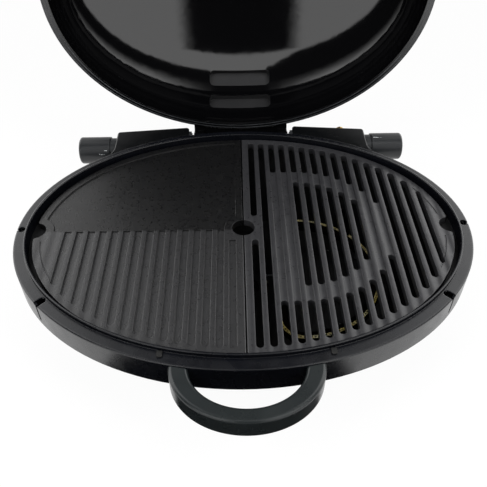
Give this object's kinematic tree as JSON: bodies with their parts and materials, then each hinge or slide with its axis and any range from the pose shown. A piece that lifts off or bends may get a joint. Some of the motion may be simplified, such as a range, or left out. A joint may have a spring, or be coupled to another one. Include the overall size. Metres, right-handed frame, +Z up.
{
  "type": "benchtop gas barbecue",
  "caption": "Oval benchtop gas barbecue with a hinged domed lid, a griddle and a slotted grill plate over two ring burners, side-facing control knobs and a front carry handle.",
  "frame": {"origin": "on the bench, below the centre of the finger hole between the two cooking plates", "axes": "+X to the cook's right, +Y away from the cook towards the hinge, +Z up"},
  "size_m": [0.66, 0.832, 0.6584],
  "materials": {
    "ring_enamel": "semi-gloss black powder coat",
    "cast_alloy": "die-cast alloy with a satin black coat",
    "cast_iron_plate": "satin black seasoned cast iron, fine grain",
    "handle_plastic": "satin dark grey moulded nylon",
    "housing_plastic": "semi-gloss black moulding",
    "lid_enamel": "gloss black enamel",
    "bright_steel": "bright zinc-plated steel",
    "bracket_steel": "black coated steel",
    "tap_brass": "turned brass",
    "spindle_steel": "plain steel",
    "pipe_aluminium": "drawn aluminium pipe",
    "burner_steel": "heat-tinted stainless steel",
    "white_ceramic": "white glazed ceramic",
    "foot_rubber": "matt black rubber",
    "tray_aluminium": "pressed aluminium"
  },
  "bodies": {
    "base": {"base_bowl": "cast_alloy", "bracket_screws": "bright_steel", "burner_brackets": "bracket_steel", "burner_left": "burner_steel", "burner_right": "burner_steel", "control_housing_left": "housing_plastic", "control_housing_right": "housing_plastic", "electrode_ceramic_left": "white_ceramic", "electrode_ceramic_right": "white_ceramic", "feed_pipe_left": "pipe_aluminium", "feed_pipe_right": "pipe_aluminium", "front_handle": "handle_plastic", "front_handle_screws": "bright_steel", "gas_inlet": "tap_brass", "gas_manifold": "pipe_aluminium", "hinge_brackets": "bracket_steel", "hinge_pins": "bright_steel", "hinge_washers": "bright_steel", "housing_screws": "bright_steel", "injector_left": "tap_brass", "injector_right": "tap_brass", "knob_bezel_left": "handle_plastic", "knob_bezel_right": "handle_plastic", "lid_rest_clips": "foot_rubber", "ring_screws": "bright_steel", "rubber_feet": "foot_rubber", "runner_screws": "bright_steel", "spark_electrode_left": "spindle_steel", "spark_electrode_right": "spindle_steel", "stand_trestle_left": "bracket_steel", "stand_trestle_right": "bracket_steel", "stop_pins": "bright_steel", "surround_ring": "ring_enamel", "tap_body_left": "tap_brass", "tap_body_right": "tap_brass", "tap_cap_left": "tap_brass", "tap_cap_right": "tap_brass", "tray_runners": "bracket_steel", "trestle_screws": "bracket_steel"},
    "lid": {"lid_dome": "lid_enamel", "lid_vent_lower": "lid_enamel", "lid_vent_upper": "lid_enamel", "lid_handle": "handle_plastic", "lid_handle_screws": "bright_steel", "lid_hinge_block": "lid_enamel"},
    "griddle_plate": {"griddle_plate": "cast_iron_plate"},
    "grill_plate": {"grill_plate": "cast_iron_plate"},
    "drip_tray": {"drip_tray": "tray_aluminium"},
    "tap_plug_left": {"tap_plug_left": "tap_brass", "tap_spring_left": "spindle_steel"},
    "knob_left": {"knob_left": "handle_plastic", "tap_spindle_left": "spindle_steel"},
    "tap_plug_right": {"tap_plug_right": "tap_brass", "tap_spring_right": "spindle_steel"},
    "knob_right": {"knob_right": "handle_plastic", "tap_spindle_right": "spindle_steel"}
  },
  "joints": [
    {"name": "lid_hinge", "type": "hinge", "parent": "base", "child": "lid", "pos_m": [0, 0.253, 0.164], "axis": [1, 0, 0], "range_deg": [0, 109.5]},
    {"name": "griddle_lift", "type": "slide", "parent": "base", "child": "griddle_plate", "axis": [0, 0, 1], "range_m": [0, 0.03]},
    {"name": "grill_lift", "type": "slide", "parent": "base", "child": "grill_plate", "axis": [0, 0, 1], "range_m": [0, 0.03]},
    {"name": "drip_tray_slide", "type": "slide", "parent": "base", "child": "drip_tray", "axis": [0, -1, 0], "range_m": [0, 0.19]},
    {"name": "tap_turn_left", "type": "hinge", "parent": "base", "child": "tap_plug_left", "pos_m": [-0.184, 0.231, 0.1528], "axis": [-1, 0, 0], "range_deg": [0, 180]},
    {"name": "knob_push_left", "type": "slide", "parent": "tap_plug_left", "child": "knob_left", "axis": [1, 0, 0], "range_m": [0, 0.003], "stiffness_N_per_m": 1500, "springref_m": -0.002, "deforming": ["tap_spring_left"]},
    {"name": "tap_turn_right", "type": "hinge", "parent": "base", "child": "tap_plug_right", "pos_m": [0.184, 0.231, 0.1528], "axis": [1, 0, 0], "range_deg": [0, 180]},
    {"name": "knob_push_right", "type": "slide", "parent": "tap_plug_right", "child": "knob_right", "axis": [-1, 0, 0], "range_m": [0, 0.003], "stiffness_N_per_m": 1500, "springref_m": -0.002, "deforming": ["tap_spring_right"]}
  ]
}
